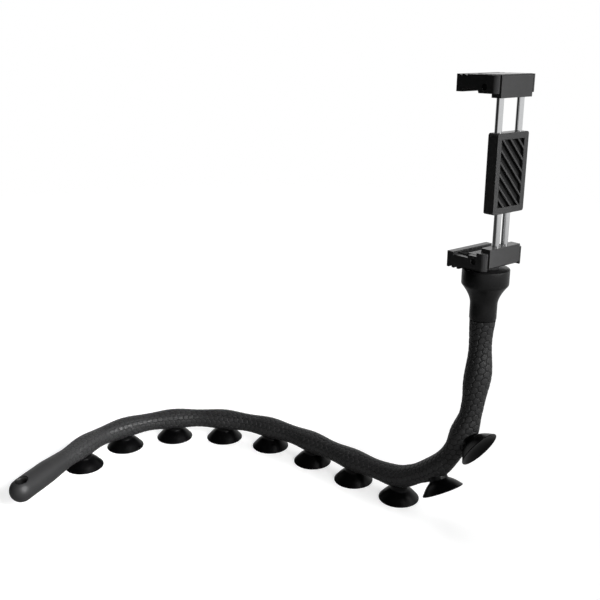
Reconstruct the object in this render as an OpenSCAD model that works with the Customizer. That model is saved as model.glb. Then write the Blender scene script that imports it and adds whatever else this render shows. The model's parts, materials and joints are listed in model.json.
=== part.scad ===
// Flexible phone mount: a bendable arm with suction cups lies on the desk, rises into a
// collar and carries a sprung clamp whose two claws hold a phone by its long edges.
// Millimetres. +Z is up, the desk is Z = 0, X runs along the clamped phone and Y through it.

/* [Arm] */
// From the middle of the tail's round end to the first suction cup
tail_length = 57; // [50:1:70]
// Distance between neighbouring suction cups along the arm
cup_pitch = 33; // [30:0.5:38]
// From the last suction cup to the collar, along the arm
neck_length = 58; // [50:1:70]
// Diameter of the arm between the cups
arm_d = 11.4; // [10.5:0.1:12]
// Diameter of the arm's swelling at each cup
bulge_d = 13.2; // [12.8:0.1:14]
// Diameter of the swelling in the elbow, at the last cup
elbow_d = 14.6; // [13:0.1:15.2]
// Diameter of the arm where it meets the collar
stem_d = 12.8; // [12:0.1:13]
// Diameter of the arm's end inside the collar
seat_d = 12; // [11:0.1:12.2]
// Diameter of the smooth tail
tail_d = 13.6; // [12.6:0.1:14.4]
// Diameter of the bendable wire inside the arm
core_d = 3.2; // [2.4:0.1:3.6]
// Diameter of the hanging hole through the tail
hang_hole_d = 6.4; // [5:0.1:7]

/* [Suction cups] */
// Diameter of a cup's lip
cup_d = 23.4; // [20:0.2:26]
// From the arm's centreline to the lip
cup_reach = 13; // [12:0.1:14]
// Diameter of the neck that plugs into the arm
cup_neck_d = 10.6; // [9.6:0.1:11]
// Thickness of the cup's wall
cup_wall = 1.3; // [0.9:0.1:1.6]
// Thickness of the lip's edge
lip_edge = 0.5; // [0.3:0.1:0.8]
// From the arm's centreline to the bottom of a neck's socket
socket_floor = 3.6; // [3:0.1:4]

/* [Collar and swivel] */
// Diameter of the collar's head
collar_head_d = 24.2; // [20:0.2:24.2]
// Height of the straight rim of the head
collar_rim_h = 8.3; // [5:0.1:10]
// Height of the flared shoulder under the rim
collar_shoulder_h = 10.5; // [8:0.5:12]
// Whole height of the collar
collar_h = 27.3; // [24:0.1:32]
// Diameter of the collar's sleeve
collar_sleeve_d = 14; // [13.6:0.1:16]
// How far the arm reaches into the collar
arm_seat = 12; // [8:0.5:14]
// How far the wire reaches beyond the end of the arm's skin
core_seat = 5; // [3:0.5:6]
// Thickness of the friction washer between collar and clamp
washer_h = 0.4; // [0.3:0.1:0.4]
// Diameter of the friction washer and of the boss that turns on it
washer_d = 12.4; // [10:0.2:16]
// Height of the boss under the lower jaw block
boss_h = 2.7; // [2:0.1:5]
// Diameter of the swivel bolt's shank
bolt_d = 4; // [3:0.1:4.4]

/* [Clamp box] */
// Width of the box
box_w = 23; // [22.4:0.1:28]
// Height of the box
box_h = 38.8; // [34:0.2:44]
// Depth of the box, front to back
box_t = 5.9; // [5.8:0.1:7]
// Wall at the top, the bottom and the sides of the box
box_wall = 1.5; // [1.2:0.1:2]
// Thickness of the plate the phone leans on
front_t = 0.5; // [0.4:0.1:0.7]
// Depth of the slots in the back
slot_depth = 1.2; // [0.8:0.1:1.2]
// Thickness of the floor behind the slots
slot_floor = 0.3; // [0.2:0.1:0.5]
// Width of the frame round the slots
frame_w = 3.1; // [2.4:0.1:4]
// Slant of the slots in degrees
slot_slant = 46; // [40:1:55]
// Distance between the slots, square to them
slot_pitch = 4; // [3.4:0.1:5]
// Width of the bars between the slots
bar_w = 1; // [0.8:0.1:1.6]

/* [Jaws] */
// Opening between the two claws' gripping edges
grip_opening = 77.2; // [74:0.2:80]
// From the top of the collar up to the lower gripping edge
grip_lift = 9.5; // [9.4:0.1:12]
// How far the upper jaw block reaches below the upper gripping edge
jaw_overlap = 1.7; // [1.2:0.1:2.4]
// From the bottom of the box down to the lower jaw block
lower_gap = 17; // [15:0.1:18]
// Width of the jaw blocks
block_w = 23; // [21:0.1:24]
// Height of the lower jaw block
lower_block_h = 10; // [9:0.1:12]
// Height of the upper jaw block
upper_block_h = 10.7; // [9:0.1:12]
// From the swivel axis back to the backs of the blocks and the box
box_back_y = 11.1; // [10.6:0.1:12]
// Diameter of the guide rods
rod_d = 3.6; // [3:0.1:3.6]
// Distance between the two upper rods
upper_rod_pitch = 15.2; // [14.6:0.1:15.6]
// Distance between the two lower rods
lower_rod_pitch = 6.6; // [6:0.1:7]
// How far each rod reaches into the box
rod_in_box = 6.4; // [5.6:0.1:8]
// How far each rod is sunk in its jaw block
rod_in_block = 6.5; // [5:0.1:7.5]
// Thickness of the crossbars that join each pair of rods
crossbar_t = 1.2; // [0.8:0.1:2]
// Diameter of the two tension springs
spring_d = 3; // [2.4:0.1:3.2]
// Thickness of the spring wire
spring_wire = 0.5; // [0.3:0.05:0.6]

/* [Claws] */
// From the swivel axis back to the back edge of the claws
claw_back_y = 11.1; // [10.6:0.1:13]
// Whole reach of a claw, back edge to tip
claw_reach = 24.3; // [23:0.1:27]
// Thickness of a claw, measured up and down
claw_t = 6.9; // [6:0.1:7.4]
// From the gripping edge to the claw's own underside
claw_gap = 1.9; // [1.2:0.1:2.2]
// Gap between the ears and the jaw block they straddle
ear_gap = 0.9; // [0.5:0.1:1.4]
// Thickness of the ears
ear_t = 2.6; // [2.4:0.1:3.6]
// Height of the upper claw's ears
upper_ear_h = 8.5; // [7:0.1:8.6]
// Height of the lower claw's ears in front of the rods
lower_ear_h = 6.9; // [6:0.1:8.6]
// How much higher the lower claw's ears are at the back
lower_ear_rise = 1.9; // [0.5:0.1:2.4]
// Length of that higher part, from the back edge
ear_rise_l = 5.5; // [4:0.1:5.8]
// Length of the ears from the back edge
ear_length = 10.7; // [10:0.1:13]
// Radius of the ears' outer back corners
ear_round = 4.5; // [1.5:0.1:5]
// From the back edge of a claw to its hinge pin
pin_back = 7.3; // [7:0.1:9]
// From the gripping edge to the hinge pin
pin_rise = 3.2; // [3:0.1:3.6]
// Diameter of the hinge pins
pin_d = 3; // [2:0.1:3]
// How far the pins' ends lie below the ears' outer faces
pin_inset = 0.4; // [0:0.1:0.8]
// Length of the lip that holds the phone's front
lip_l = 3.8; // [2:0.1:4.4]
// How far the lip stands out from the claw
lip_drop = 1.3; // [0.6:0.1:1.6]
// Distance between the teeth on a claw's outer side
tooth_pitch = 3.3; // [2.4:0.1:3.4]
// Depth of the notches between the teeth
tooth_depth = 0.8; // [0.5:0.1:1.2]
// Thickness of the rubber pad under a claw
pad_t = 0.5; // [0.4:0.1:1.2]

/* [Hidden] */

$fn = 48;
overshoot = 1;
cup_count = 10;

// Clearances
fit_gap = 0.15;    // soft or glued pieces in their seats
run_gap = 0.05;    // shafts that turn or slide in their bores
side_gap = 0.35;   // flat faces that pass each other
touch_gap = 0.3;   // round faces that pass each other

// Where the arm's sections lie, as distances along it
first_cup = tail_length;
function cup_at(k) = first_cup + (k - 1)*cup_pitch;
// The cups don't sit quite evenly: how far each lies beyond its even place
cup_shifts = [-0.8, -0.2, 0.4, 1, 1.6, 2.8, 3.4, 3, -2.7, -4.9];
function cup_place(k) = cup_at(k) + cup_shifts[k - 1];
last_cup = cup_at(cup_count);
arm_length = last_cup + neck_length;

// The lay of the arm, chosen by eye: its heading at the tail's end, at every cup, half way
// up the neck and at the collar, and how steeply it climbs round the elbow.
headings = [31, 28, 0, -28, -50, -68, -81, -82, -75, -85, -36, 17, 60];
heading_by_length = concat([[0, headings[0]]],
    [for (k = [1 : cup_count]) [cup_at(k), headings[k]]],
    [[last_cup + neck_length/2, headings[11]], [arm_length, headings[12]]]);
climb_by_length = [
    [cup_at(8) + 1.5, 0], [cup_at(8) + 6, 32], [cup_at(9) - 9, 32], [cup_at(9) + 7, 54],
    [last_cup - 8, 73], [last_cup + 12, 79], [last_cup + 34, 79], [arm_length, 90]];

function heading(s) = lookup(s, heading_by_length);
function climb(s) = lookup(s, climb_by_length);
function along(s) = [cos(heading(s))*cos(climb(s)), sin(heading(s))*cos(climb(s)), sin(climb(s))];

// The centreline is the running sum of short steps from the tail's end to the collar
track_steps = 206;
track_step = arm_length/track_steps;
track = [for (p = [0, 0, 0], i = 0; i <= track_steps;
    p = p + track_step*along((i + 0.5)*track_step), i = i + 1) p];
track_end = track[track_steps];
straight_ends = 60;
function table(axis) = concat([[-straight_ends, (track[0] - straight_ends*along(0))[axis]]],
    [for (i = [0 : track_steps]) [i*track_step, track[i][axis]]],
    [[arm_length + straight_ends, (track_end + straight_ends*along(arm_length))[axis]]]);
track_x = table(0);
track_y = table(1);
track_z = table(2);
// The collar's axis is X = Y = 0 and the cups' lips lie on the desk
function centre(s) = [lookup(s, track_x) - track_end[0], lookup(s, track_y) - track_end[1],
    lookup(s, track_z) + cup_reach];

// Which way each cup faces: compass heading, and how far it dips below level
cup_headings = [0, 0, 0, 0, 0, 0, 0, 0, -90, -88];
cup_dips = [90, 90, 90, 90, 90, 90, 90, 90, 58, 28.5];
function facing(k) = [cos(cup_headings[k - 1])*cos(cup_dips[k - 1]),
    sin(cup_headings[k - 1])*cos(cup_dips[k - 1]), -sin(cup_dips[k - 1])];
last_cup_face = facing(cup_count);
// The middle of each cup's lip; the lips of the level cups lie on the desk
function lip_middle(k) = let (c = centre(cup_place(k)))
    cup_dips[k - 1] == 90 ? [c[0], c[1], 0] : c + cup_reach*facing(k);

// The model is shifted so that the origin is the middle of its footprint
claw_half_w = block_w/2 + ear_gap + ear_t;
far_cup_y = max([for (k = [1 : cup_count]) lip_middle(k)[1]]);
near_cup_y = lip_middle(cup_count)[1] - cup_d/2*sqrt(1 - pow(last_cup_face[1], 2));
footprint_middle = [(centre(0)[0] - tail_d/2 + claw_half_w)/2, (far_cup_y + cup_d/2 + near_cup_y)/2];

// Radius of the arm's skin along its length
tail_end = 22;
tail_taper = 17;
stem_start = last_cup + 8;
stem_taper = 16;
elbow_reach = 12;
base_radius = [[0, tail_d/2], [tail_end, tail_d/2], [tail_end + tail_taper, arm_d/2],
    [stem_start, arm_d/2], [stem_start + stem_taper, stem_d/2]];
function hump(distance, reach) = abs(distance) < reach ? (1 + cos(180*distance/reach))/2 : 0;
function swelling(s) = max([for (k = [1 : cup_count]) k < cup_count
    ? (bulge_d - arm_d)/2*hump(s - cup_place(k), cup_pitch/2)
    : (elbow_d - arm_d)/2*hump(s - cup_place(k), elbow_reach)]);
function skin_radius(s) = s < 0 ? sqrt(max(0, pow(tail_d/2, 2) - s*s))
    : lookup(s, base_radius) + swelling(s);

// Heights on the swivel axis, from the arm's end upwards
collar_foot = centre(arm_length)[2];
collar_top = collar_foot + collar_h;
lower_edge = collar_top + grip_lift;
upper_edge = lower_edge + grip_opening;
lower_block_foot = collar_top + washer_h + boss_h;
lower_block_top = lower_block_foot + lower_block_h;
box_foot = lower_block_top + lower_gap;
box_top = box_foot + box_h;
upper_block_foot = upper_edge - jaw_overlap;
upper_block_top = upper_block_foot + upper_block_h;
// The clamp's depth, front to back
claw_back = -claw_back_y;
box_back = -box_back_y;
box_face = box_back + box_t;
cavity_back = box_back + slot_depth + slot_floor;
rod_y = (cavity_back + box_face - front_t)/2;
pin_y = claw_back + pin_back;
nose_r = 7;
arm_back = pin_y + nose_r + touch_gap;
claw_tip = claw_back + claw_reach;

module on_footprint() {
    translate([-footprint_middle[0], -footprint_middle[1], 0]) children();
}

// A place on the arm, with +Z pointing back up a cup's neck to the centreline
module at_cup(k) {
    translate(lip_middle(k))
        rotate([0, 90 - cup_dips[k - 1], 180 + cup_headings[k - 1]]) children();
}

// A tube swept along the centreline: rings of points, each ring at [distance, radius]
function ring(s, r, sides) = [for (j = [0 : sides - 1])
    let (a = 360*j/sides, h = heading(max(0, min(arm_length, s))), t = along(max(0, min(arm_length, s))),
        u = [sin(h), -cos(h), 0], v = cross(u, t))
    centre(s) + r*cos(a)*u + r*sin(a)*v];
function flat_list(rows) = [for (row = rows) for (p = row) p];
function band(start, next, sides) = [for (j = [0 : sides - 1]) let (k = (j + 1) % sides)
    each [[start + j, next + k, start + k], [start + j, next + j, next + k]]];
function cap(tip, start, sides, turn) = [for (j = [0 : sides - 1]) let (k = (j + 1) % sides)
    turn ? [tip, start + j, start + k] : [tip, start + k, start + j]];

skin_sides = 20;
core_sides = 10;
skin_rings = 98;
skin_tip_rings = 4;
core_start = 30;
core_rings = 92;
skin_end = arm_length + arm_seat;
core_end = skin_end + core_seat;
// Rings round the tail's dome, then evenly along the arm, then the step into the collar;
// each ring is [distance, radius]
skin_foot = arm_length - fit_gap;
skin_stations = concat(
    [for (i = [1 : skin_tip_rings]) let (s = -tail_d/2*cos(90*i/(skin_tip_rings + 1))) [s, skin_radius(s)]],
    [for (i = [0 : skin_rings]) let (s = skin_foot*i/skin_rings) [s, skin_radius(s)]],
    [[skin_foot, seat_d/2], [skin_end, seat_d/2]]);
channel_stations = [for (i = [0 : core_rings]) core_start + (skin_end - core_start)*i/core_rings];

module swept_skin() {
    outer = [for (place = skin_stations) ring(place[0], place[1], skin_sides)];
    inner = [for (s = channel_stations) ring(s, core_d/2, core_sides)];
    outer_count = len(outer)*skin_sides;
    tail_pole = outer_count + len(inner)*core_sides;
    points = concat(flat_list(outer), flat_list(inner),
        [centre(-tail_d/2), centre(core_start)]);
    last_outer = (len(outer) - 1)*skin_sides;
    last_inner = outer_count + (len(inner) - 1)*core_sides;
    rim = [for (j = [0 : core_sides - 1]) let (o = last_outer + 2*j, k = (j + 1) % core_sides,
            next = last_outer + (2*j + 2) % skin_sides)
        each [[o, last_inner + j, o + 1], [o + 1, last_inner + j, last_inner + k],
            [o + 1, last_inner + k, next]]];
    faces = concat(
        cap(tail_pole, 0, skin_sides, true),
        [for (i = [0 : len(outer) - 2]) each band(i*skin_sides, (i + 1)*skin_sides, skin_sides)],
        rim,
        [for (i = [0 : len(inner) - 2])
            each [for (f = band(outer_count + i*core_sides, outer_count + (i + 1)*core_sides,
                core_sides)) [f[0], f[2], f[1]]]],
        cap(tail_pole + 1, outer_count, core_sides, false));
    polyhedron(points = points, faces = faces, convexity = 10);
}

module swept_core() {
    rings = [for (s = channel_stations) ring(s, core_d/2, core_sides)];
    count = len(rings)*core_sides;
    top = [for (p = ring(skin_end, core_d/2, core_sides)) p + [0, 0, core_seat]];
    points = concat(flat_list(rings), top, [centre(core_start), centre(core_end)]);
    faces = concat(
        cap(count + core_sides, 0, core_sides, true),
        [for (i = [0 : len(rings) - 1]) each band(i*core_sides, (i + 1)*core_sides, core_sides)],
        cap(count + core_sides + 1, count, core_sides, false));
    polyhedron(points = points, faces = faces, convexity = 10);
}

module arm_sleeve() {
    color("#2b2b2d") on_footprint() difference() {
        swept_skin();
        for (k = [1 : cup_count]) at_cup(k) {
            cylinder(d = cup_neck_d + 2*fit_gap, h = cup_reach - socket_floor);
            cup_recess();
        }
        translate([centre(0)[0], centre(0)[1], cup_reach - tail_d])
            cylinder(d = hang_hole_d, h = 2*tail_d);
    }
}

module arm_core() {
    color("#8c8c90") on_footprint() swept_core();
}

// The outside of a suction cup from its lip up to its neck, as [radius, height]
cup_shoulder = cup_reach - bulge_d/2 - 2*fit_gap;
cup_bulge = 0.6;
dome_steps = 8;
lip_r = cup_d/2;
neck_r = cup_neck_d/2;
dome = [for (i = [0 : dome_steps]) let (f = i/dome_steps)
    [lip_r + (neck_r - lip_r)*f + cup_bulge*sin(180*f),
        lip_edge + (cup_shoulder - lip_edge)*f + cup_bulge*sin(180*f)]];

// One suction cup, standing on its lip with its neck up
module suction_cup() {
    hollow_top = cup_shoulder - 2*cup_wall;
    inner = [for (i = [0 : dome_steps]) let (a = 90*i/dome_steps)
        [(lip_r - 0.7)*cos(a), hollow_top*sin(a)*sin(a)]];
    rotate_extrude() polygon(concat([[lip_r, 0]], dome,
        [[neck_r, cup_reach - socket_floor], [0, cup_reach - socket_floor]],
        [for (i = [dome_steps : -1 : 0]) inner[i]]));
}

// The room a cup needs in the arm's skin: its outside, a little larger all round
module cup_recess() {
    rotate_extrude() polygon(concat([[0, 0], [lip_r + fit_gap, 0]],
        [for (p = dome) [p[0] + fit_gap, p[1] + fit_gap]], [[0, cup_shoulder + fit_gap]]));
}

module placed_cup(k) {
    color("#0b0b0c") on_footprint() at_cup(k) suction_cup();
}

// The collar: straight rim, flared shoulder, slim sleeve over the arm's end
module collar() {
    head_r = collar_head_d/2;
    sleeve_r = collar_sleeve_d/2;
    shoulder_steps = 10;
    flare = 1.75;
    chamfer = 0.5;
    rim_foot = collar_h - collar_rim_h;
    shoulder = [for (i = [0 : shoulder_steps]) let (t = 1 - i/shoulder_steps)
        [sleeve_r + (head_r - sleeve_r)*pow(t, flare), rim_foot - collar_shoulder_h*(1 - t)]];
    color("#161617") on_footprint() translate([0, 0, collar_foot]) difference() {
        rotate_extrude() polygon(concat(
            [[0, collar_h], [head_r - chamfer, collar_h], [head_r, collar_h - chamfer]], shoulder,
            [[sleeve_r, chamfer], [sleeve_r - chamfer, 0], [0, 0]]));
        translate([0, 0, -overshoot])
            cylinder(d = seat_d + 2*fit_gap, h = arm_seat + fit_gap + overshoot);
        cylinder(d = core_d + 2*fit_gap, h = arm_seat + core_seat + 2*fit_gap);
        translate([0, 0, collar_h - bolt_grip]) cylinder(d = bolt_d, h = bolt_grip + overshoot);
    }
}

bolt_grip = 6;
bolt_head_t = 1;
// The head sits just above the lower claw's hinge pin, inside the block's round nose, so
// that the claw swings past it
lower_pin_z = lower_edge - pin_rise;
bolt_head_foot = lower_pin_z + pin_d/2 + touch_gap;
bolt_head_rise = bolt_head_foot + bolt_head_t - lower_pin_z;
bolt_head_d = 2*(pin_y + sqrt(pow(nose_r, 2) - pow(bolt_head_rise, 2)));

module swivel_washer() {
    color("#3a3a3c") on_footprint() translate([0, 0, collar_top]) difference() {
        cylinder(d = washer_d, h = washer_h);
        translate([0, 0, -overshoot]) cylinder(d = bolt_d + 2*run_gap, h = washer_h + 2*overshoot);
    }
}

// Threaded into the collar; the lower jaw block turns round its shank
module swivel_bolt() {
    shank_foot = collar_top - bolt_grip;
    color("#a8a8ac") on_footprint() {
        translate([0, 0, shank_foot]) cylinder(d = bolt_d, h = bolt_head_foot - shank_foot);
        translate([0, 0, bolt_head_foot]) cylinder(d = bolt_head_d, h = bolt_head_t);
    }
}

// Turns an upper jaw piece into its lower twin, mirrored about the middle of the opening
module as_lower() {
    translate([0, 0, lower_edge + upper_edge]) mirror([0, 0, 1]) children();
}

// Side view of a jaw block: tall behind the phone, with a round nose above its edge
module block_outline(foot, height) {
    corner = 0.8;
    top = foot + height;
    pin_z = upper_edge + pin_rise;
    front_foot = upper_edge + side_gap;
    tall_t = box_t - side_gap;
    polygon([[box_back, foot], [box_back + tall_t, foot], [box_back + tall_t, front_foot],
        [pin_y, front_foot], [pin_y, pin_z], [pin_y + nose_r, pin_z], [pin_y + nose_r, top],
        [box_back + corner, top], [box_back, top - corner]]);
    intersection() {
        translate([pin_y, pin_z]) circle(r = nose_r);
        translate([pin_y, front_foot]) square([nose_r, pin_z - front_foot]);
    }
}

// A profile drawn as [Y, Z], given a width along X about the middle
module across(width) {
    translate([-width/2, 0, 0]) rotate([90, 0, 90]) linear_extrude(width) children();
}

module rod_holes(pitch, from) {
    for (side = [-1, 1]) translate([side*pitch/2, rod_y, from])
        cylinder(d = rod_d, h = rod_in_block + overshoot);
}

module pin_hole(d) {
    translate([-claw_half_w - overshoot, pin_y, upper_edge + pin_rise])
        rotate([0, 90, 0]) cylinder(d = d, h = 2*claw_half_w + 2*overshoot);
}

module upper_jaw_block() {
    color("#505052") on_footprint() difference() {
        across(block_w) block_outline(upper_block_foot, upper_block_h);
        rod_holes(upper_rod_pitch, upper_block_foot - overshoot);
        pin_hole(pin_d);
    }
}

module lower_jaw_block() {
    color("#505052") on_footprint() difference() {
        union() {
            as_lower() across(block_w)
                block_outline(lower_edge + upper_edge - lower_block_top, lower_block_h);
            translate([0, 0, lower_block_foot - boss_h]) intersection() {
                cylinder(d = washer_d, h = boss_h);
                translate([-washer_d, -washer_d, 0]) cube([2*washer_d, washer_d + pin_y + nose_r, boss_h]);
            }
        }
        translate([0, 0, lower_block_top - rod_in_block]) rod_holes(lower_rod_pitch, 0);
        as_lower() pin_hole(pin_d);
        translate([0, 0, collar_top])
            cylinder(d = bolt_d + 2*run_gap, h = bolt_head_foot - collar_top + overshoot);
        translate([0, 0, bolt_head_foot])
            cylinder(d = bolt_head_d + 2*touch_gap, h = lower_edge - bolt_head_foot);
    }
}

// Side view of a claw: arm, hooked lip, and teeth on the outer side
tooth_count = 4;
claw_foot = upper_edge + claw_gap;
claw_top = claw_foot + claw_t;
module claw_outline() {
    difference() {
        union() {
            translate([arm_back, claw_foot]) square([claw_tip - arm_back, claw_t]);
            translate([claw_tip - lip_l, claw_foot - lip_drop]) square([lip_l, claw_t]);
        }
        for (i = [1 : tooth_count]) translate([claw_tip - i*tooth_pitch, claw_top])
            polygon([[0, overshoot], [0, -tooth_depth], [tooth_pitch*0.6, 0], [tooth_pitch*0.6, overshoot]]);
    }
}

// Plan view of one ear: a strip along the block's side, round at its outer back corner
module ear_plan() {
    translate([block_w/2 + ear_gap, claw_back]) difference() {
        square([ear_t, arm_back + overshoot - claw_back]);
        translate([ear_t - ear_round, 0]) difference() {
            translate([0, -overshoot]) square([ear_round + overshoot, ear_round + overshoot]);
            translate([0, ear_round]) circle(r = ear_round);
        }
    }
}

// Side view of an ear: deeper round the pin, deeper still at the back of the lower claw,
// then level with the claw's arm
ear_foot = upper_edge + touch_gap;
module ear_outline(height, rise) {
    translate([claw_back, ear_foot]) square([ear_length, height]);
    translate([claw_back, ear_foot - rise]) square([ear_rise_l, height]);
    translate([claw_back + ear_length - overshoot, claw_foot])
        square([arm_back + 2*overshoot - claw_back - ear_length, ear_foot + height - claw_foot]);
}

module claw(ear_height, ear_rise) {
    difference() {
        union() {
            across(2*claw_half_w) claw_outline();
            for (side = [0, 1]) mirror([side, 0, 0]) intersection() {
                translate([0, 0, ear_foot - ear_rise]) linear_extrude(ear_height + ear_rise) ear_plan();
                across(2*claw_half_w) ear_outline(ear_height, ear_rise);
            }
        }
        pin_hole(pin_d + 2*run_gap);
    }
}

module upper_claw() {
    color("#2a2a2b") on_footprint() claw(upper_ear_h, 0);
}

module lower_claw() {
    color("#2a2a2b") on_footprint() as_lower() claw(lower_ear_h, lower_ear_rise);
}

module claw_pin() {
    translate([pin_inset - claw_half_w, pin_y, upper_edge + pin_rise])
        rotate([0, 90, 0]) cylinder(d = pin_d, h = 2*claw_half_w - 2*pin_inset);
}

module upper_claw_pin() {
    color("#0e0e0f") on_footprint() claw_pin();
}

module lower_claw_pin() {
    color("#0e0e0f") on_footprint() as_lower() claw_pin();
}

module claw_pad() {
    pad_l = claw_tip - lip_l - arm_back - side_gap;
    translate([-block_w/2, arm_back, claw_foot - pad_t]) cube([block_w, pad_l, pad_t]);
}

module upper_claw_pad() {
    color("#767676") on_footprint() claw_pad();
}

module lower_claw_pad() {
    color("#767676") on_footprint() as_lower() claw_pad();
}

// Each jaw hangs on two chromed rods; inside the box a crossbar joins them, and a
// tension spring pulls the crossbar towards a post in the middle of the box
upper_rod_foot = box_top - rod_in_box;
upper_rod_length = upper_block_foot + rod_in_block - upper_rod_foot;
lower_rod_foot = lower_block_top - rod_in_block;
lower_rod_length = rod_in_block + lower_gap + rod_in_box;
crossbar_h = 3.4;
crossbar_over = 1.6;
post_d = 2;
box_middle = box_foot + box_h/2;

module rod(side, pitch, foot, length) {
    color("#c9cacc") on_footprint() translate([side*pitch/2, rod_y, foot])
        cylinder(d = rod_d, h = length);
}

// A flat strap pressed on the ends of a pair of rods, with a hole for the spring's hook
module crossbar(pitch, foot) {
    length = pitch + 2*crossbar_over;
    color("#6d6d70") on_footprint() translate([0, rod_y, foot]) difference() {
        translate([-length/2, -crossbar_h/2, 0]) cube([length, crossbar_h, crossbar_t]);
        translate([0, 0, -overshoot]) cylinder(d = spring_d - 2*spring_wire - 2*fit_gap,
            h = crossbar_t + 2*overshoot);
    }
}

// A coil of round wire between two heights, sections of the wire placed along a helix
coil_turns = 6;
coil_per_turn = 10;
wire_sides = 5;
module coil(foot, length) {
    coil_r = (spring_d - spring_wire)/2;
    rise = length - spring_wire;
    stations = coil_turns*coil_per_turn;
    points = flat_list([for (i = [0 : stations]) let (a = 360*i/coil_per_turn)
        [for (j = [0 : wire_sides - 1])
            let (b = 360*(j + 0.25)/wire_sides, r = coil_r + spring_wire/2*cos(b))
            [r*cos(a), r*sin(a), spring_wire/2 + rise*i/stations + spring_wire/2*sin(b)]]]);
    faces = concat([[for (j = [0 : wire_sides - 1]) j]],
        [for (i = [0 : stations - 1]) each [for (f = band(i*wire_sides, (i + 1)*wire_sides, wire_sides))
            [f[0], f[2], f[1]]]],
        [[for (j = [wire_sides - 1 : -1 : 0]) stations*wire_sides + j]]);
    color("#9a9a9e") on_footprint() translate([0, rod_y, foot])
        polyhedron(points = points, faces = faces, convexity = 10);
}

upper_bar_foot = upper_rod_foot - crossbar_t;
lower_bar_foot = lower_rod_foot + lower_rod_length;
spring_gap = 0.05;
upper_spring_foot = box_middle + post_d/2 + spring_gap;
upper_spring_length = upper_bar_foot - spring_gap - upper_spring_foot;
lower_spring_foot = lower_bar_foot + crossbar_t + spring_gap;
lower_spring_length = box_middle - post_d/2 - spring_gap - lower_spring_foot;

module upper_rod(side) {
    rod(side, upper_rod_pitch, upper_rod_foot, upper_rod_length);
}

module lower_rod(side) {
    rod(side, lower_rod_pitch, lower_rod_foot, lower_rod_length);
}

// The box: back, sides and ends in one piece, open to the front, with the spring post
box_corner = 1.2;
window_w = box_w - 2*frame_w;
window_h = box_h - 2*frame_w;
inner_w = box_w - 2*box_wall;
inner_h = box_h - 2*box_wall;

// Lays a flat outline, drawn as [X, Z], on a plane facing back at the given Y
module plate(y, thickness) {
    translate([0, y + thickness, box_foot]) rotate([90, 0, 0]) linear_extrude(thickness) children();
}

module box_shell() {
    color("#1a1a1b") on_footprint() {
        difference() {
            plate(box_back, box_t) rounded_plate(box_w, box_h, box_corner);
            plate(box_back - overshoot, box_t) translate([-window_w/2, frame_w]) square([window_w, window_h]);
            plate(cavity_back, box_t) translate([-inner_w/2, box_wall]) square([inner_w, inner_h]);
            for (side = [-1, 1]) {
                translate([side*upper_rod_pitch/2, rod_y, box_top - 2*box_wall])
                    cylinder(d = rod_d + 2*run_gap, h = 3*box_wall);
                translate([side*lower_rod_pitch/2, rod_y, box_foot - box_wall])
                    cylinder(d = rod_d + 2*run_gap, h = 3*box_wall);
            }
        }
    }
}

// A rectangle with rounded corners, its foot at 0 and its middle on the axis
module rounded_plate(width, height, corner) {
    translate([-width/2, 0]) {
        translate([corner, 0]) square([width - 2*corner, height]);
        translate([0, corner]) square([width, height - 2*corner]);
        for (x = [corner, width - corner]) for (z = [corner, height - corner])
            translate([x, z]) circle(r = corner);
    }
}

// The slotted insert in the back of the box: floor and slanting bars
module box_grille() {
    reach = window_w + window_h;
    slots = ceil(reach/slot_pitch/2);
    color("#565658") on_footprint() difference() {
        plate(box_back, slot_depth + slot_floor) translate([-window_w/2, frame_w])
            square([window_w, window_h]);
        plate(box_back - overshoot, slot_depth + overshoot) intersection() {
            translate([-window_w/2, frame_w]) square([window_w, window_h]);
            for (i = [-slots : slots]) translate([0, box_h/2]) rotate(-slot_slant)
                translate([-reach, (i - 0.5)*slot_pitch + bar_w/2]) square([2*reach, slot_pitch - bar_w]);
        }
    }
}

// The plate at the front of the box, with the post that anchors both springs
module box_front() {
    color("#1a1a1b") on_footprint() {
        plate(box_face - front_t, front_t) translate([-inner_w/2, box_wall]) square([inner_w, inner_h]);
        translate([0, box_face - front_t, box_middle]) rotate([90, 0, 0])
            cylinder(d = post_d, h = box_face - front_t - cavity_back);
    }
}

arm_sleeve();
arm_core();
placed_cup(1);  // suction_cup_01
placed_cup(2);  // suction_cup_02
placed_cup(3);  // suction_cup_03
placed_cup(4);  // suction_cup_04
placed_cup(5);  // suction_cup_05
placed_cup(6);  // suction_cup_06
placed_cup(7);  // suction_cup_07
placed_cup(8);  // suction_cup_08
placed_cup(9);  // suction_cup_09
placed_cup(10);  // suction_cup_10
collar();
swivel_washer();
swivel_bolt();
lower_jaw_block();
lower_claw();
lower_claw_pin();
lower_claw_pad();
lower_rod(-1);  // lower_rod_left
lower_rod(1);  // lower_rod_right
crossbar(lower_rod_pitch, lower_bar_foot);  // lower_crossbar
coil(lower_spring_foot, lower_spring_length);  // lower_spring
upper_jaw_block();
upper_claw();
upper_claw_pin();
upper_claw_pad();
upper_rod(-1);  // upper_rod_left
upper_rod(1);  // upper_rod_right
crossbar(upper_rod_pitch, upper_bar_foot);  // upper_crossbar
coil(upper_spring_foot, upper_spring_length);  // upper_spring
box_shell();
box_grille();
box_front();
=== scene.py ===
# %% [markdown]
# # A flexible phone mount
# The solids come from the imported model and stay where they are. This script gives them
# their looks: a silicone arm with raised cells, ten glossy suction cups, a satin collar,
# and a small clamp with chromed rods and a slotted box. Sizes are written in millimetres
# and multiplied by MM, because the scene is in metres. The floor and the lamps, which are
# much bigger than the product, are written in metres.

# %% Load the imported model
import bmesh
import bpy
import json
import math
import numpy as np
from mathutils import Matrix, Vector


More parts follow.
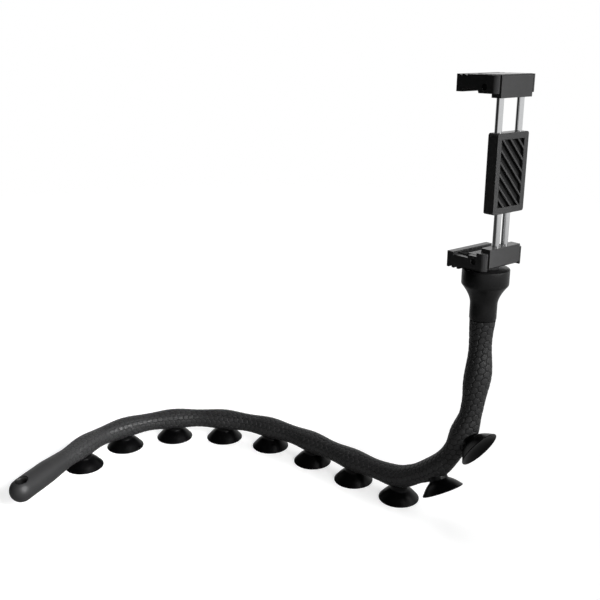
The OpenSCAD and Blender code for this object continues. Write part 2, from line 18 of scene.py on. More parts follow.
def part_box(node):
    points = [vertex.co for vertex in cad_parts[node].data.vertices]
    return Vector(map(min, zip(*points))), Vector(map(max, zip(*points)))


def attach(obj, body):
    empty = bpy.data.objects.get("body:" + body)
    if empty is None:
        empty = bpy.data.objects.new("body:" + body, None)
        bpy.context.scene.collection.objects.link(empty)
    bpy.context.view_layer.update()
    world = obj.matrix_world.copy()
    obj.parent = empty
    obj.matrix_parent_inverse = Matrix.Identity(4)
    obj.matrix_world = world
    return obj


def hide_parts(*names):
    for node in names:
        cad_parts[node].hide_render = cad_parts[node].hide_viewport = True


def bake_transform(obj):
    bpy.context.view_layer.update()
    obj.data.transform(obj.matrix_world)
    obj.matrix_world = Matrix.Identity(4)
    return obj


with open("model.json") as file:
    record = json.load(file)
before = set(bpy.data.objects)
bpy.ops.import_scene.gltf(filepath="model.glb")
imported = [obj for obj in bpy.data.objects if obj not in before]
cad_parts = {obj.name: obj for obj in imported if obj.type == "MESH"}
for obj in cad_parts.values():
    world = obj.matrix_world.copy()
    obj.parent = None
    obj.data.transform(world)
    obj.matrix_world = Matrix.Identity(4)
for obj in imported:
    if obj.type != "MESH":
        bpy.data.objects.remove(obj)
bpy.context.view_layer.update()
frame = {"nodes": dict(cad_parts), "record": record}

MM = 0.001

# %% [markdown]
# ## Shader maths as Python
# A pattern such as the arm's cells is a formula. Wrapping a socket in a small class lets
# the formula be written as an expression, and each operator adds its Math node.

# %% A socket that can be used in an expression
def math_node(operation):
    """A method that adds one Math node, with its own socket as the first input."""
    def method(self, *values):
        node = self.tree.nodes.new("ShaderNodeMath")
        node.operation = operation
        for place, value in zip(node.inputs, (self, *values)):
            connect(self.tree, place, value)
        return Wire(self.tree, node.outputs[0])
    return method


class Wire:
    """A node's output, with the operators that the finishes use."""
    def __init__(self, tree, socket):
        self.tree, self.socket = tree, socket

    __add__ = __radd__ = math_node("ADD")
    __mul__ = __rmul__ = math_node("MULTIPLY")
    __sub__ = math_node("SUBTRACT")
    __abs__ = math_node("ABSOLUTE")
    floor = math_node("FLOOR")
    smallest = math_node("MINIMUM")
    largest = math_node("MAXIMUM")

    def __rsub__(self, other):
        return self*-1 + other

    def step_between(self, low, high):
        """0 below low, 1 above high, and a smooth rise between."""
        ramp = self.tree.nodes.new("ShaderNodeMapRange")
        ramp.interpolation_type = "SMOOTHSTEP"
        connect(self.tree, ramp.inputs["Value"], self)
        ramp.inputs["From Min"].default_value = low
        ramp.inputs["From Max"].default_value = high
        return Wire(self.tree, ramp.outputs["Result"])


def connect(tree, place, value):
    """Link a wire to a socket, or write a plain value on it."""
    if isinstance(value, Wire):
        tree.links.new(value.socket, place)
    else:
        place.default_value = value


class Finish:
    """A material with one Principled shader, and a method that adds any other node."""
    def __init__(self, name, **sockets):
        self.material = bpy.data.materials.new(name)
        self.material.use_nodes = True
        self.tree = self.material.node_tree
        self.shader = next(n for n in self.tree.nodes if n.type == "BSDF_PRINCIPLED")
        for socket, value in sockets.items():
            self.set(socket.replace("_", " "), value)

    def set(self, socket, value):
        connect(self.tree, self.shader.inputs[socket], value)

    def add(self, kind, settings=None, output=0, **inputs):
        node = self.tree.nodes.new(kind)
        for key, value in (settings or {}).items():
            setattr(node, key, value)
        for key, value in inputs.items():
            connect(self.tree, node.inputs[key.replace("_", " ")], value)
        return Wire(self.tree, node.outputs[output])

    def place(self):
        """Object coordinates, which keep a pattern on its piece."""
        return self.add("ShaderNodeTexCoord", output="Object")

    def noise(self, per_metre, detail=2.0, roughness=0.5):
        return self.add("ShaderNodeTexNoise", output="Fac", Vector=self.place(),
                        Scale=per_metre, Detail=detail, Roughness=roughness)

    def blend(self, share, first, second):
        """The first colour where share is 0 and the second where it is 1."""
        node = self.tree.nodes.new("ShaderNodeMix")
        node.data_type = "RGBA"
        connect(self.tree, node.inputs[0], share)
        for place, colour in ((node.inputs[6], first), (node.inputs[7], second)):
            connect(self.tree, place, colour if isinstance(colour, Wire) else (*colour, 1))
        return Wire(self.tree, node.outputs[2])

    def bump(self, height, distance, strength=1.0, onto=None):
        node = self.tree.nodes.new("ShaderNodeBump")
        node.inputs["Strength"].default_value = strength
        node.inputs["Distance"].default_value = distance
        connect(self.tree, node.inputs["Height"], height)
        if onto is not None:
            connect(self.tree, node.inputs["Normal"], onto)
        return Wire(self.tree, node.outputs[0])


print("shader helpers ready")

# %% [markdown]
# ## Pieces
# A new piece is built in a bmesh and handed over as an object that sits at the origin,
# with its place in its mesh, so that patterns and poses keep to it.

# %% Turn a bmesh into a piece, or copy a solid and soften its edges
SHARP = math.radians(35)
FLAT = math.radians(0.5)
WELD = 1e-6


def object_from(name, bm):
    mesh = bpy.data.meshes.new(name)
    bm.to_mesh(mesh)
    bm.free()
    made = bpy.data.objects.new(name, mesh)
    bpy.context.scene.collection.objects.link(made)
    return made


def piece(name, bm, finish, body=None):
    """A visible piece."""
    for face in bm.faces:
        face.smooth = True
    for edge in bm.edges:
        edge.smooth = len(edge.link_faces) == 2 and edge.calc_face_angle(0) < SHARP
    made = object_from(name, bm)
    made.data.materials.append(finish.material)
    if body:
        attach(made, body)
    print(name, "faces", len(made.data.polygons))
    return made


def spun(profile, steps, place=Matrix.Identity(4)):
    """A line of radius and height pairs, turned about the Z axis and then put in place."""
    bm = bmesh.new()
    dots = [bm.verts.new((r*MM, 0, z*MM)) for r, z in profile]
    line = [bm.edges.new(pair) for pair in zip(dots, dots[1:])]
    bmesh.ops.spin(bm, geom=dots + line, cent=(0, 0, 0), axis=(0, 0, 1), angle=math.tau,
                   steps=steps, use_merge=True)
    bmesh.ops.remove_doubles(bm, verts=bm.verts, dist=WELD)
    bmesh.ops.recalc_face_normals(bm, faces=bm.faces)
    bmesh.ops.transform(bm, matrix=place, verts=bm.verts)
    return bm


BODY_OF = {n: b for b, ns in frame["record"]["behaviour"]["bodies"].items() for n in ns}


def dressed(node, finish, soften=0.25, reshape=None, rigid=True):
    """A copy of a solid with flat faces merged, then reshaped if asked, and sharp edges rounded."""
    bm = bmesh.new()
    bm.from_mesh(frame["nodes"][node].data)
    bmesh.ops.remove_doubles(bm, verts=bm.verts, dist=WELD)
    if reshape:
        reshape(bm)
    bmesh.ops.dissolve_limit(bm, angle_limit=FLAT, verts=bm.verts, edges=bm.edges)
    if soften:
        edges = [e for e in bm.edges if len(e.link_faces) == 2 and e.calc_face_angle(0) > SHARP]
        bmesh.ops.bevel(bm, geom=edges, offset=soften*MM, offset_type="OFFSET", segments=2,
                        profile=0.5, affect="EDGES", clamp_overlap=True, material=-1)
    body = BODY_OF[node] if rigid else None
    made = piece(node + "_look", bm, finish, body)
    made.modifiers.new("even_shading", "WEIGHTED_NORMAL").keep_sharp = True
    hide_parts(node)
    return made


# %% [markdown]
# ## Finishes
# The real mount is nearly all black, so its parts are told apart by gloss and grain:
# matte silicone on the arm, wet-looking rubber on the cups, a satin moulded collar,
# fine-grained plastic on the clamp, and mirror-bright rods. The silicone is smooth up to
# TAIL_END and its cells are at full depth from CELLS_FULL on. Its base colour carries a
# painted sheen, lighter towards the tail where the highlight falls, which fades out by the
# third distance, and its grooves are painted a little darker than the cells, as painted shade.

# %% Silicone with raised cells
CELL = 3.6
CELL_PAIRS_ROUND = 6
PAIR = math.sqrt(3)
TAIL_END, CELLS_FULL, PAINTED_SHEEN_END = 30, 46, 110
GROOVE_LOOK = (0.37, 0.47)


def cell_height(finish):
    """1 on a cell and 0 in the groove, and the place along the arm, from the piece's own UV map."""
    uv = finish.add("ShaderNodeUVMap", {"uv_map": "cells"})
    pairs, y = (finish.add("ShaderNodeSeparateXYZ", output=part, Vector=uv) for part in "XY")

    def nearest(shift):
        a = abs(y + shift - (y + (shift + 0.5)).floor())
        b = abs(pairs + shift - (pairs + (shift + 0.5)).floor())*PAIR
        return a.largest(a*0.5 + b*(PAIR/2))
    edge = nearest(0.0).smallest(nearest(0.5))
    return 1 - edge.step_between(*GROOVE_LOOK), y


skin = Finish("silicone_skin", Specular_IOR_Level=0.35)
cells, along_cells = cell_height(skin)
fade = along_cells.step_between(TAIL_END/CELL, CELLS_FULL/CELL)
relief = cells*fade
mottle = skin.noise(420, 3.0)
grain = skin.noise(5200, 2.0)
# Painted sheen: the base colour is made lighter towards the tail, standing in for the highlight that falls
# there.
painted_sheen = 1 - along_cells.step_between(TAIL_END/CELL, PAINTED_SHEEN_END/CELL)
# The cells are painted lighter than the grooves between them, as painted shade in the grooves; the mottle
# is the silicone's own random tone.
tone_and_painted_light = relief*0.5 + mottle*0.2 + painted_sheen*0.3
skin_colour = skin.blend(tone_and_painted_light, (0.012, 0.012, 0.0123), (0.024, 0.024, 0.0246))
skin.set("Base Color", skin_colour)
skin.set("Roughness", 0.70 - relief*0.22 + mottle*0.06 - (1 - fade)*0.22)
skin.set("Normal", skin.bump(relief, 0.25*MM, 0.9, skin.bump(grain, 0.02*MM, 0.4)))

# %% Rubber, plastics and metals
cup_rubber = Finish("cup_rubber", Specular_IOR_Level=0.1)
dust = cup_rubber.noise(260, 3.0)
cup_rubber.set("Base Color", cup_rubber.blend(dust, (0.0008, 0.0008, 0.0009), (0.0018, 0.0018, 0.002)))
cup_rubber.set("Roughness", 0.24 + dust*0.12)
cup_rubber.set("Normal", cup_rubber.bump(cup_rubber.noise(1500), 0.02*MM, 0.2))


def plastic(name, first, second, roughness, grain_depth=0.02, share_of=None):
    """Fine-grained plastic between two colours, shared out in faint clouds unless told how."""
    made = Finish(name, Specular_IOR_Level=0.12)
    cloud = made.noise(300, 4.0)
    fine = made.noise(6500, 2.0)
    made.set("Base Color", made.blend(share_of(made) if share_of else cloud, first, second))
    made.set("Roughness", roughness - 0.05 + cloud*0.1)
    made.set("Normal", made.bump(fine, grain_depth*MM, 0.6))
    return made


def painted_slot_shade(finish):
    """0 on the box's slotted back, and 1 on the floors of the slots, which are painted darker as painted
    shade, because they get little light.
    """
    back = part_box("box_grille")[0].y
    depth = finish.add("ShaderNodeSeparateXYZ", output="Y", Vector=finish.place())
    return depth.step_between(back + 0.3*MM, back + 1.1*MM)


collar_plastic = plastic("collar_plastic", (0.014, 0.014, 0.0142), (0.020, 0.020, 0.0205), 0.3)
jaw_plastic = plastic("jaw_plastic", (0.088, 0.088, 0.089), (0.103, 0.103, 0.104), 0.2)
claw_plastic = plastic("claw_plastic", (0.066, 0.066, 0.067), (0.082, 0.082, 0.083), 0.2)
box_plastic = plastic("box_plastic", (0.080, 0.080, 0.081), (0.095, 0.095, 0.096), 0.26)
# The floors of the slots get the second, near-black colour: painted shade in the slots.
grille_plastic = plastic("grille_plastic", (0.088, 0.088, 0.089), (0.010, 0.010, 0.0102), 0.3,
                         share_of=painted_slot_shade)
pin_black = plastic("pin_black", (0.002, 0.002, 0.002), (0.004, 0.004, 0.004), 0.6)
pad_rubber = plastic("pad_rubber", (0.01, 0.01, 0.01), (0.018, 0.018, 0.018), 0.8, 0.06)

chrome = Finish("chrome", Metallic=1.0)
haze = chrome.noise(900, 3.0)
chrome.set("Base Color", chrome.blend(haze, (0.52, 0.525, 0.53), (0.60, 0.605, 0.61)))
chrome.set("Roughness", 0.06 + haze*0.06)

steel = Finish("plain_steel", Metallic=1.0)
scratches = steel.noise(2400, 4.0)
steel.set("Base Color", steel.blend(scratches, (0.3, 0.3, 0.31), (0.45, 0.45, 0.46)))
steel.set("Roughness", 0.28 + scratches*0.2)
print("finishes:", len(bpy.data.materials))

# %% [markdown]
# ## The arm
# The real arm is one silicone sleeve over a soft wire. Its line is known from its heading
# at every cup and from how it climbs at the elbow, so short steps along that line give
# every place on it. A straight tube is spun step by step and then laid along the line.

# %% The line of the arm
FIRST, PITCH, COUNT, NECK = 57.0, 33.0, 10, 58.0
LAST = FIRST + (COUNT - 1)*PITCH
TOP = LAST + NECK
REACH = 13.0
cup_at = [FIRST + k*PITCH for k in range(COUNT)]
cup_shifts = [-0.8, -0.2, 0.4, 1, 1.6, 2.8, 3.4, 3, -2.7, -4.9]
cup_spots = [even + shift for even, shift in zip(cup_at, cup_shifts)]
heading_at = [0, *cup_at, LAST + NECK/2, TOP]
headings = [31, 28, 0, -28, -50, -68, -81, -82, -75, -85, -36, 17, 60]
climb_at = [cup_at[7] + 1.5, cup_at[7] + 6, cup_at[8] - 9, cup_at[8] + 7,
            LAST - 8, LAST + 12, LAST + 34, TOP]
climbs = [0, 32, 32, 54, 73, 79, 79, 90]
SMOOTHED_OVER = (-6, -3, 0, 3, 6)
sway_at = [-12, -2, 4, 12, 20, 30, 36, 45, 51, 57]
sways = [0, 0.7, 0.8, 0.45, 0, 0.15, 0, -0.35, -0.3, 0]
SWAY_ALONG = np.array([0.788, -0.616, 0])


def aims(s):
    """Heading and climb, in radians, at distances along the arm."""
    return np.radians(np.interp(s, heading_at, headings)), np.radians(np.interp(s, climb_at, climbs))


def aim_vectors(s):
    """The unit vectors in which the arm runs at these distances."""
    h, e = aims(s)
    return np.stack([np.cos(h)*np.cos(e), np.sin(h)*np.cos(e), np.sin(e)], -1)


STEPS = 206
step = TOP/STEPS
track = np.vstack([[0, 0, 0], np.cumsum(step*aim_vectors((np.arange(STEPS) + 0.5)*step), 0)])
collar_low, collar_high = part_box("collar")
axis_x, axis_y = (collar_low.x + collar_high.x)/2/MM, (collar_low.y + collar_high.y)/2/MM
track += np.array([axis_x, axis_y, REACH]) - track[-1]*[1, 1, 0]


def centres(s):
    """Places on the arm's line, which runs straight on past both of its ends."""
    s = np.asarray(s, float)
    on = np.clip(s, 0, TOP)
    places = np.stack([np.interp(on, np.arange(STEPS + 1)*step, track[:, k]) for k in range(3)], -1)
    return places + (s - on)[..., None]*aim_vectors(on)


def eased(line, s):
    """The mean of a few neighbours along the arm, which takes the kinks out."""
    return np.mean([line(s + nearby) for nearby in SMOOTHED_OVER], 0)


def sway(s):
    """How far the neck's skin leans out of line, as silicone does where it is bent."""
    return np.interp(s - LAST, sway_at, sways)[..., None]*SWAY_ALONG


print("arm from", centres(0.0).round(1), "to", centres(TOP).round(1))

# %% The arm's thickness
ARM_R, BULGE_R, ELBOW_R, STEM_R, SEAT_R, TAIL_R = 5.7, 6.6, 7.3, 6.0, 6.0, 6.8
ELBOW_REACH = 12
NECK_BULGES = [(LAST + 27, 1.2), (LAST + 61, 0.85)]
SEAT_AT = TOP - 0.3
DEEP = 0.14
GROOVE_FROM, GROOVE_WIDTH = 0.35, 0.13


def smooth_step(t):
    t = np.clip(t, 0, 1)
    return t*t*(3 - 2*t)


def hump(distance, reach):
    """1 at no distance, falling smoothly to 0 at its reach."""
    near = np.abs(distance) < reach
    return np.where(near, (1 + np.cos(math.pi*distance/reach))/2, 0)


def thickness(s):
    """The skin's radius: the tail's ball, a bulge at each cup, and the seat in the collar."""
    s = np.asarray(s, float)
    base = np.interp(s, [0, 22, 39, LAST - 2, LAST + 10], [TAIL_R, TAIL_R, ARM_R, ARM_R, STEM_R])
    humps = [(BULGE_R - ARM_R)*hump(s - spot, PITCH/2) for spot in cup_spots[:-1]]
    humps.append((ELBOW_R - ARM_R)*hump(s - cup_spots[-1], ELBOW_REACH))
    humps += [height*hump(s - spot, PITCH/2) for spot, height in NECK_BULGES]
    full = np.where(s < SEAT_AT, base + np.max(humps, 0), SEAT_R)
    return np.where(s < 0, np.sqrt(np.maximum(0, TAIL_R**2 - s**2)), full)


def raised(pairs, v):
    """The same cells as in the finish, for the mesh itself."""
    def nearest(shift):
        a = np.abs(v + shift - np.floor(v + shift + 0.5))
        b = np.abs(pairs + shift - np.floor(pairs + shift + 0.5))*PAIR
        return np.maximum(a, a*0.5 + b*PAIR/2)
    edge = np.minimum(nearest(0.0), nearest(0.5))
    return 1 - smooth_step((edge - GROOVE_FROM)/GROOVE_WIDTH)


# %% Lay a straight tube along the line
def close_ends(bm):
    ends = [e for e in bm.edges if len(e.link_faces) == 1]
    bmesh.ops.holes_fill(bm, edges=ends, sides=0)
    bmesh.ops.recalc_face_normals(bm, faces=bm.faces)


def tube(stations, sides, radius_of, relief_depth=0.0, closed=True):
    """A tube along the arm with a ring at each station, and a UV map for the cells."""
    bm = bmesh.new()
    bmesh.ops.create_circle(bm, cap_ends=False, radius=1, segments=sides)
    bmesh.ops.spin(bm, geom=bm.verts[:] + bm.edges[:], cent=(0, 0, 0), axis=(0, 0, 1), angle=0,
                   dvec=(0, 0, 1), steps=len(stations) - 1, use_merge=False)
    flat = np.array([v.co for v in bm.verts])
    turn = np.arctan2(flat[:, 1], flat[:, 0])
    ring = np.rint(flat[:, 2]).astype(int)
    s = np.asarray(stations)[ring]
    sector = np.rint(turn/math.tau*sides).astype(int) % sides
    u, v = sector*CELL_PAIRS_ROUND/sides, s/CELL
    fade_in = smooth_step((s - TAIL_END)/(CELLS_FULL - TAIL_END))
    h, _ = aims(np.clip(s, 0, TOP))
    side = np.stack([np.sin(h), -np.cos(h), np.zeros_like(h)], -1)
    up = np.cross(side, eased(lambda at: aim_vectors(np.clip(at, 0, TOP)), s))
    r = radius_of(s) - relief_depth*(1 - raised(u, v))*fade_in
    outward = np.cos(turn)[:, None]*side + np.sin(turn)[:, None]*up
    places = eased(centres, s) + sway(s) + r[:, None]*outward
    for vert, place in zip(bm.verts, places*MM):
        vert.co = place
    uv = bm.loops.layers.uv.new("cells")
    for face in bm.faces:
        wrap = [sector[loop.vert.index] for loop in face.loops]
        around = max(wrap) - min(wrap) > sides/2
        for loop, place in zip(face.loops, wrap):
            turned = place + sides if around and place < sides/2 else place
            loop[uv].uv = (turned*CELL_PAIRS_ROUND/sides, v[loop.vert.index])
    if closed:
        close_ends(bm)
    return bm


SKIN_SIDES = 16*CELL_PAIRS_ROUND
FINE = CELL/8
IN_COLLAR = 12.0
dome = [-TAIL_R*math.cos(math.radians(a)) for a in range(3, 90, 6)]
tail_stations = dome + list(np.arange(0, TAIL_END, 1.25)) + [TAIL_END]
lower_stations = list(np.arange(TAIL_END, LAST - 0.1, FINE)) + [LAST]
upper_stations = list(np.arange(LAST, SEAT_AT - 0.2, FINE)) + [SEAT_AT - 0.02, SEAT_AT, TOP + IN_COLLAR]
tail_bm = tube(tail_stations, SKIN_SIDES, thickness)
lower_bm = tube(lower_stations, SKIN_SIDES, thickness, DEEP, closed=False)
upper_bm = tube(upper_stations, SKIN_SIDES, thickness, DEEP)
upper_skin = piece("arm_skin_upper", upper_bm, skin)

# %% [markdown]
# The tail ends in a ball with a hole right through it, for hanging the mount up. The
# hole's mouth is rounded, so the cutter is a spun rod that flares at both ends. Only the
# smooth tail is cut, which is quick, and the patterned skin is then merged to its end.

# %% Cut the hanging hole and join the tail to the skin
hole = centres(0.0)
HOLE_R = 3.2
MOUTH_R, MOUTH_FROM, CUTTER_HALF = 1.1, 4.7, 12
DARK_FROM, DARK_TO = 3.3, 4.0
off_axis = skin.add("ShaderNodeVectorMath", {"operation": "MULTIPLY_ADD"}, Vector=skin.place())
off_axis.socket.node.inputs[1].default_value = (1, 1, 0)
off_axis.socket.node.inputs[2].default_value = (-hole[0]*MM, -hole[1]*MM, 0)
from_axis = skin.add("ShaderNodeVectorMath", {"operation": "LENGTH"}, output="Value", Vector=off_axis)
# Painted shade: the skin within a few millimetres of the hanging hole's axis, which is the hole's wall, is
# painted near-black for the shade inside the hole.
hole_painted_shade = 1 - from_axis.step_between(DARK_FROM*MM, DARK_TO*MM)
skin.set("Base Color", skin.blend(hole_painted_shade, skin_colour, (0.002, 0.002, 0.002)))
flare = [(HOLE_R + MOUTH_R*(1 - math.cos(math.radians(a))), MOUTH_FROM + MOUTH_R*math.sin(math.radians(a)))
         for a in range(0, 91, 15)] + [(HOLE_R + MOUTH_R, CUTTER_HALF)]
outline = [(0, -CUTTER_HALF)] + [(r, -z) for r, z in reversed(flare)] + flare + [(0, CUTTER_HALF)]
tail = object_from("tail", tail_bm)
cutter = object_from("hole_cutter", spun(outline, 48, Matrix.Translation(Vector(hole)*MM)))
cut = tail.modifiers.new("hang_hole", "BOOLEAN")
cut.operation, cut.solver, cut.object = "DIFFERENCE", "EXACT", cutter
bpy.context.view_layer.update()
holed = bpy.data.meshes.new_from_object(tail.evaluated_get(bpy.context.evaluated_depsgraph_get()))
joined = bmesh.new()
joined.from_mesh(holed)
seam, seam_aim = Vector(centres(TAIL_END))*MM, Vector(aim_vectors(np.array(TAIL_END)))
end_caps = [f for f in joined.faces if abs(f.normal.dot(seam_aim)) > 0.99
            and all(abs((v.co - seam).dot(seam_aim)) < WELD for v in f.verts)]
bmesh.ops.delete(joined, geom=end_caps, context="FACES_ONLY")
patterned = bpy.data.meshes.new("patterned")
lower_bm.to_mesh(patterned)
lower_bm.free()
joined.from_mesh(patterned)
bmesh.ops.remove_doubles(joined, verts=joined.verts, dist=2*WELD)
close_ends(joined)
print("open edges left:", sum(len(e.link_faces) != 2 for e in joined.edges), "caps dropped:", len(end_caps))
lower_skin = piece("arm_skin_lower", joined, skin)
for spare in (tail, cutter):
    bpy.data.objects.remove(spare)

# %% The wire inside
CORE_R, CORE_SIDES, CORE_STEP = 1.6, 12, 3
CORE_PAST_SKIN = 4


def core_thickness(s):
    return np.full(np.shape(s), CORE_R)


lower_rings = list(np.arange(TAIL_END, LAST, CORE_STEP)) + [LAST]
upper_rings = list(np.arange(LAST, TOP + IN_COLLAR + CORE_PAST_SKIN, CORE_STEP))
lower_core = piece("bend_wire_lower", tube(lower_rings, CORE_SIDES, core_thickness), steel)
upper_core = piece("bend_wire_upper", tube(upper_rings, CORE_SIDES, core_thickness), steel)
for low in (lower_skin, lower_core):
    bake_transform(low)
for high in (upper_skin, upper_core):
    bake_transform(high)
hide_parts("arm_sleeve")
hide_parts("arm_sleeve")
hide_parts("arm_core")
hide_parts("arm_core")

# %% [markdown]
# ## The suction cups
# Each cup is a thin bell of glossy rubber on a short neck that plugs into the arm. A few
# points make half of its section, a spin makes the bell, and a subdivision rounds it.

# %% Spin one cup and place it ten times
CUP_R = 11.7
NECK_R, NECK_TOP = 5.3, 9.4
STRAIGHT_DOWN = (0, 90)
RAISED_CUPS = {8: (-90, 58), 9: (-88, 28.5)}
plug = [(0, NECK_TOP), (NECK_R - 0.1, NECK_TOP), (NECK_R, NECK_TOP - 0.1), (NECK_R, 7.2), (NECK_R, 6.5)]
outside = [(5.7, 6.05), (7.3, 5.0), (9.0, 3.5), (10.5, 1.75), (11.3, 0.85)]
lip_edge = [(CUP_R - 0.08, 0.55), (CUP_R, 0.35), (CUP_R - 0.02, 0.05), (CUP_R - 0.2, 0.0), (11.0, 0.02)]
hollow = [(10.6, 0.35), (8.6, 1.9), (5.8, 3.1), (2.8, 3.65), (0, 3.75)]
cup_section = plug + outside + lip_edge + hollow


def cup_place(k):
    """Where a cup goes: most stand on the ground, and the last two face where they are held."""
    centre = Vector(centres(cup_spots[k]))
    heading, dip = RAISED_CUPS.get(k, STRAIGHT_DOWN)
    h, d = math.radians(heading), math.radians(dip)
    facing = Vector((math.cos(h)*math.cos(d), math.sin(h)*math.cos(d), -math.sin(d)))
    lip = Vector((centre.x, centre.y, 0)) if dip == 90 else centre + REACH*facing
    turn = Matrix.Rotation(math.pi + h, 4, "Z") @ Matrix.Rotation(math.pi/2 - d, 4, "Y")
    return Matrix.Translation(lip*MM) @ turn


for k in range(COUNT):
    node = f"suction_cup_{k + 1:02d}"
    bell = spun(cup_section, 32, cup_place(k))
    cup = piece(node + "_look", bell, cup_rubber, BODY_OF[node])
    for edge in cup.data.edges:
        edge.use_edge_sharp = False
    rounding = cup.modifiers.new("rounding", "SUBSURF")
    rounding.levels = rounding.render_levels = 2
    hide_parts(node)

# %% [markdown]
# ## The collar
# A turned-looking moulding: a slim sleeve that grips the arm, a hollow shoulder, and a
# straight rim with a fine parting line under it.

# %% Spin the collar
foot = collar_low.z/MM
COLLAR_H = (collar_high.z - collar_low.z)/MM
RIM, SHOULDER = 8.3, 10.5
RIM_R, SLEEVE_R = 12.1, 7.0
BORE_R, BORE_TOP = 6.15, 12.1
SHOULDER_STEPS, SHOULDER_CURVE = 16, 1.75
rim_foot = COLLAR_H - RIM
rim = [(0, COLLAR_H), (RIM_R - 0.6, COLLAR_H), (RIM_R - 0.2, COLLAR_H - 0.15), (RIM_R, COLLAR_H - 0.5),
       (RIM_R, rim_foot + 0.5), (RIM_R - 0.1, rim_foot)]
down = [k/SHOULDER_STEPS for k in range(1, SHOULDER_STEPS + 1)]
shoulder = [(SLEEVE_R + (RIM_R - SLEEVE_R)*(1 - share)**SHOULDER_CURVE, rim_foot - SHOULDER*share)
            for share in down]
sleeve = [(SLEEVE_R, 4), (SLEEVE_R, 0.7), (SLEEVE_R - 0.2, 0.25), (SLEEVE_R - 0.5, 0)]
bore = [(BORE_R, 0), (BORE_R, BORE_TOP), (0, BORE_TOP)]
collar_bm = spun(rim + shoulder + sleeve + bore, 96, Matrix.Translation((axis_x*MM, axis_y*MM, foot*MM)))
collar = piece("collar_look", collar_bm, collar_plastic, "head")
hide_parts("collar")

# %% [markdown]
# ## The clamp
# The clamp's solids already have the right forms, with their slots, teeth and bores, so
# copies of them only get their edges rounded, which is what catches the light.

# %% Dress the clamp
EAR_INNER, EAR_T, OLD_ROUND = 12.4, 2.6, 4.5
HAIR = 0.01
claw_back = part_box("upper_claw")[0].y/MM


def fuller_corners(bm):
    """The ears' back corners, from a wide and shallow curve to a quarter circle."""
    old = np.array([EAR_INNER + EAR_T - OLD_ROUND, claw_back + OLD_ROUND])
    widest = math.acos((EAR_INNER - old[0])/OLD_ROUND)
    for vert in bm.verts:
        x, y = vert.co.x/MM - axis_x, vert.co.y/MM
        if abs(x) > EAR_INNER - HAIR and y < old[1] + HAIR:
            turn = math.atan2(old[1] - y, abs(x) - old[0])*(math.pi/2)/widest
            vert.co.x = (axis_x + math.copysign(EAR_INNER + EAR_T*math.cos(turn), x))*MM
            vert.co.y = (claw_back + EAR_T*(1 - math.sin(turn)))*MM


for node, finish, soften in [
        ("lower_jaw_block", jaw_plastic, 0.25), ("upper_jaw_block", jaw_plastic, 0.25),
        ("lower_claw", claw_plastic, 0.25), ("upper_claw", claw_plastic, 0.25),
        ("box_shell", box_plastic, 0.2), ("box_grille", grille_plastic, 0.12),
        ("box_front", box_plastic, 0.1),
        ("lower_claw_pad", pad_rubber, 0.15), ("upper_claw_pad", pad_rubber, 0.15),
        ("lower_claw_pin", pin_black, 0.15), ("upper_claw_pin", pin_black, 0.15),
        ("lower_rod_left", chrome, 0.15), ("lower_rod_right", chrome, 0.15),
        ("upper_rod_left", chrome, 0.15), ("upper_rod_right", chrome, 0.15),
        ("lower_crossbar", steel, 0.1), ("upper_crossbar", steel, 0.1),
        ("swivel_washer", collar_plastic, 0.08), ("swivel_bolt", steel, 0.15)]:
    dressed(node, finish, soften, fuller_corners if node in ("lower_claw", "upper_claw") else None)

# Each tension spring is hooked on a crossbar and on the post in the box.
for node, below, above in [("lower_spring", "jaw_base", "box"), ("upper_spring", "box", "upper_jaw")]:
    low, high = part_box(node)
    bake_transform(dressed(node, steel, 0, rigid=False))

# %% [markdown]
# ## Floor, light and camera
# The product stands on white. For the camera the world is plain white and so is the floor,
# but near the product the floor only glows in part, and lamplight makes up the rest, so
# that it keeps a faint shadow. In the product's gloss the floor and the world are dimmer
# towards the left and overhead, as in a studio with its lamps on the other side. The floor
# fades out before its edge, because no horizon shows in such a picture.

# %% Floor
FLOOR_R, FADE_FROM, FADE_TO = 1.2, 0.55, 1.14
NEAR_FROM, NEAR_TO = 0.18, 0.45
UNLIT = (0.1, 0.1, 0.1)
SHADOW_SHARE = 0.6
GLOW = 0.585
MIRRORED = 0.55
LEFT_DIMMING = 0.95
LEFT = (-0.84, 0.545, 0)


def shown(tree):
    """1 on a ray from the camera, and 1 on a ray that was mirrored or went through glass."""
    paths = tree.nodes.new("ShaderNodeLightPath")
    camera, glossy, through = [Wire(tree, paths.outputs[f"Is {kind} Ray"])
                               for kind in ("Camera", "Glossy", "Transmission")]
    return camera, (glossy + through).smallest(1.0)


def along_direction(tree, place, direction):
    """How far a place lies in a direction."""
    node = tree.nodes.new("ShaderNodeVectorMath")
    node.operation = "DOT_PRODUCT"
    connect(tree, node.inputs[0], place)
    node.inputs[1].default_value = direction
    return Wire(tree, node.outputs["Value"])


disc = bmesh.new()
bmesh.ops.create_circle(disc, cap_ends=True, segments=96, radius=FLOOR_R)
white_floor = Finish("white_floor", Roughness=1.0, Specular_IOR_Level=0.0, Emission_Strength=1.0)
camera_ray, mirror_ray = shown(white_floor.tree)
spot = white_floor.place()
across = white_floor.add("ShaderNodeVectorMath", {"operation": "LENGTH"}, output="Value", Vector=spot)
near = 1 - across.step_between(NEAR_FROM, NEAR_TO)
leftward = along_direction(white_floor.tree, spot, LEFT).step_between(0.02, 0.3)
white_floor.set("Base Color", white_floor.blend(camera_ray*near, UNLIT, (SHADOW_SHARE,)*3))
mirrored = mirror_ray*(1 - leftward*LEFT_DIMMING)*MIRRORED
level = (camera_ray + mirrored)*(1 - near*(1 - GLOW))
white_floor.set("Emission Color", white_floor.blend(level, (0, 0, 0), (1, 1, 1)))
white_floor.set("Alpha", 1 - across.step_between(FADE_FROM, FADE_TO))
floor = object_from("floor", disc)
floor.data.materials.append(white_floor.material)


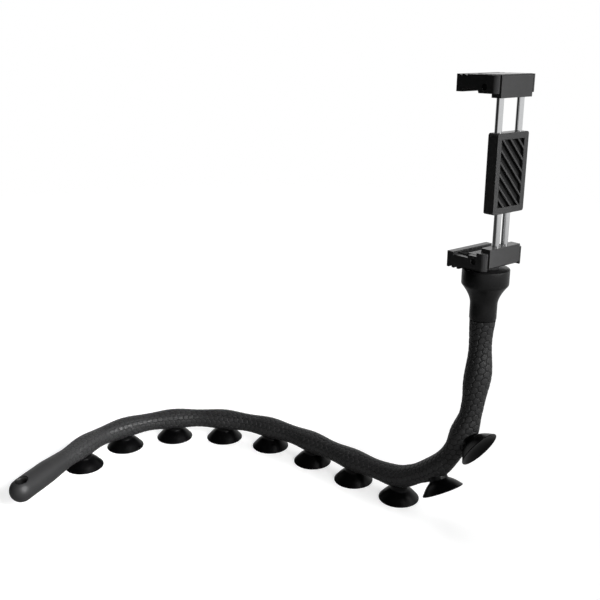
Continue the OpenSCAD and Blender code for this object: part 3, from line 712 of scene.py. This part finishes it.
# %% Lights
def softbox(name, place, target, size, power, spread=180):
    """A rectangular lamp that faces its target."""
    lamp = bpy.data.lights.new(name, "AREA")
    lamp.shape, lamp.size, lamp.size_y, lamp.energy = "RECTANGLE", size[0], size[1], power
    lamp.spread = math.radians(spread)
    made = bpy.data.objects.new(name, lamp)
    made.location = place
    made.rotation_euler = (Vector(target) - Vector(place)).to_track_quat("-Z", "Y").to_euler()
    bpy.context.scene.collection.objects.link(made)
    return made


softbox("key_light", (0.56, -0.98, 0.66), (0, 0, 0.1), (0.8, 0.7), 9)
back_light = softbox("back_light", (0.55, 0.90, 0.90), (0, 0, 0.05), (1.4, 1.0), 13)
back_light.visible_glossy = False
softbox("tail_light", (-0.02, -0.42, 0.28), (-0.09, 0.05, 0.01), (0.2, 0.2), 0.36, 36)

FILL = 0.05
SKY_DIMMING = 0.97
world = bpy.data.worlds.new("studio")
bpy.context.scene.world = world
world.use_nodes = True
sky = world.node_tree
back = next(n for n in sky.nodes if n.type == "BACKGROUND")
look = Wire(sky, sky.nodes.new("ShaderNodeTexCoord").outputs["Generated"])
camera_ray, mirror_ray = shown(sky)
leftward = along_direction(sky, look, LEFT).step_between(0.45, 0.85)
upward = along_direction(sky, look, (0, 0, 1)).step_between(0.3, 0.7)
dimmed = (1 - leftward*SKY_DIMMING)*(1 - upward*SKY_DIMMING)
back.inputs["Color"].default_value = (1, 1, 1, 1)
other = (1 - mirror_ray)*(1 - leftward)*FILL
connect(sky, back.inputs["Strength"], camera_ray + (1 - camera_ray)*(mirror_ray*dimmed + other))

# %% Camera
EYE = (axis_x - 327.1, axis_y - 264.1, 253.8)
PITCH_DOWN, AZIMUTH = 17.38, -38.06
SENSOR = 36.0
FOCAL_PX, SHOT_PX = 833.0, 600.0
lens = bpy.data.cameras.new("camera")
lens.sensor_width, lens.lens = SENSOR, SENSOR*FOCAL_PX/SHOT_PX
camera = bpy.data.objects.new("camera", lens)
camera.location = Vector(EYE)*MM
camera.rotation_euler = (math.radians(90 - PITCH_DOWN), 0, math.radians(AZIMUTH))
lens.clip_start = 0.01
bpy.context.scene.collection.objects.link(camera)
bpy.context.scene.camera = camera
bpy.context.scene.view_settings.view_transform = "Standard"

# %% Finish
print("done")
